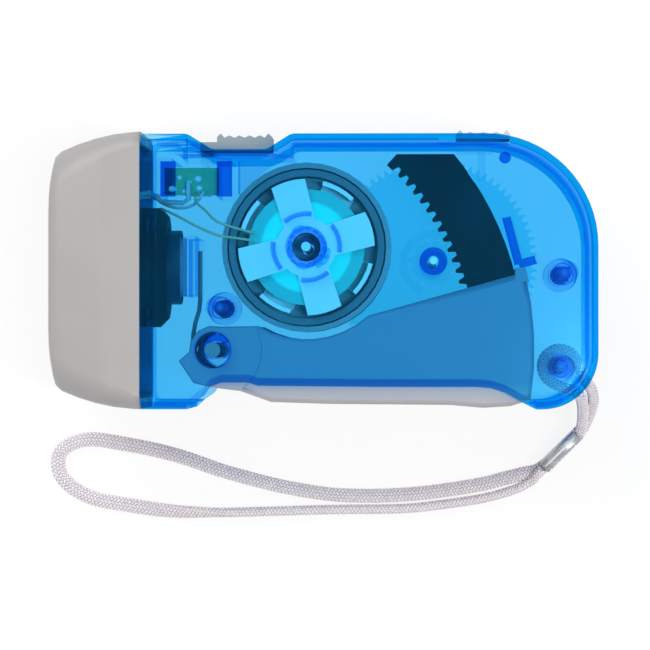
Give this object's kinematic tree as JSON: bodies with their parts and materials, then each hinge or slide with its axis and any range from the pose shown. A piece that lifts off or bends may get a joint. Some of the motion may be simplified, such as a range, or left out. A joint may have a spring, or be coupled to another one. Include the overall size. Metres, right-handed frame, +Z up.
{
  "type": "hand crank flashlight",
  "caption": "Squeeze-lever torch with a clear blue casing over its gears and flywheel generator, a grey head with a round lens, a sliding switch, a lever lock and a braided wrist strap.",
  "frame": {"origin": "middle of the torch's box at its base, the side face that it lies on", "axes": "+X runs from the lens to the rear, +Y to the side with the switches, +Z up through the thickness"},
  "size_m": [0.1091, 0.0765, 0.034],
  "materials": {
    "blue_clear": "clear blue, polished",
    "warm_grey": "satin",
    "lever_grey": "satin",
    "knob_grey": "satin",
    "black_plastic": "satin",
    "white_nylon": "satin",
    "clear_nylon": "unfilled nylon, satin",
    "teal_plastic": "gloss",
    "steel": "bright",
    "dark_steel": "oiled",
    "ferrite": "matt, fired",
    "clear": "clear, polished",
    "mirror": "vacuum plated",
    "copper": "enamelled wire",
    "green_board": "lacquered board",
    "braid": "braided",
    "wire_white": "soft insulation"
  },
  "bodies": {
    "casing": {"left_casing": "blue_clear", "right_casing": "blue_clear", "head_bezel": "warm_grey", "lens": "clear", "reflector": "mirror", "led_1": "clear", "led_2": "clear", "led_3": "clear", "led_board": "green_board", "battery_holder": "black_plastic", "battery_cell_1": "steel", "battery_cell_2": "steel", "battery_cell_3": "steel", "battery_sleeve": "black_plastic", "battery_contact": "steel", "pivot_pin": "steel", "return_spring": "dark_steel", "gear_axle": "steel", "case_screw_1": "dark_steel", "case_screw_2": "dark_steel", "case_screw_3": "dark_steel", "switch_board": "green_board", "switch_body": "steel", "stator_front_plate": "steel", "stator_back_plate": "steel", "stator_core": "steel", "coil_bobbin": "teal_plastic", "coil_winding": "copper", "battery_wire": "wire_white", "switch_wire": "wire_white", "coil_wire_1": "copper", "coil_wire_2": "copper", "strap_ferrule": "steel", "strap_small_loop": "braid", "strap_big_loop": "braid"},
    "lever": {"lever": "lever_grey", "sector_gear": "black_plastic"},
    "pinion": {"drive_pinion": "clear_nylon"},
    "drive_gear": {"drive_gear": "clear_nylon", "ratchet_pawl": "clear_nylon"},
    "flywheel": {"flywheel": "dark_steel", "ring_magnet": "ferrite", "rotor_pinion": "white_nylon", "rotor_shaft": "steel"},
    "power_switch": {"power_knob": "knob_grey", "switch_slider": "black_plastic"},
    "lock": {"lock_slider": "knob_grey"}
  },
  "joints": [
    {"name": "lever_swing", "type": "hinge", "parent": "casing", "child": "lever", "pos_m": [-0.0211, -0.01565, 0.017], "axis": [0, 0, -1], "range_deg": [0, 20]},
    {"name": "pinion_spin", "type": "hinge", "parent": "casing", "child": "pinion", "pos_m": [0.02109, 0.00139, 0.017], "axis": [0, 0, -1], "range_deg": [-5, 250]},
    {"name": "flywheel_spin", "type": "hinge", "parent": "casing", "child": "flywheel", "pos_m": [-0.00327, 0.00408, 0.017], "axis": [0, 0, 1], "continuous": true},
    {"name": "drive_gear_spin", "type": "hinge", "parent": "casing", "child": "drive_gear", "pos_m": [0.02109, 0.00139, 0.017], "axis": [0, 0, 1], "continuous": true},
    {"name": "switch_slide", "type": "slide", "parent": "casing", "child": "power_switch", "axis": [1, 0, 0], "range_m": [-0.0024, 0]},
    {"name": "lock_slide", "type": "slide", "parent": "casing", "child": "lock", "axis": [1, 0, 0], "range_m": [-0.0032, 0]}
  ],
  "couplings": [
    {"joint": "pinion_spin", "follows": "lever_swing", "ratio": 11.833},
    {"joint": "drive_gear_spin", "follows": "flywheel_spin", "ratio": -0.225}
  ]
}
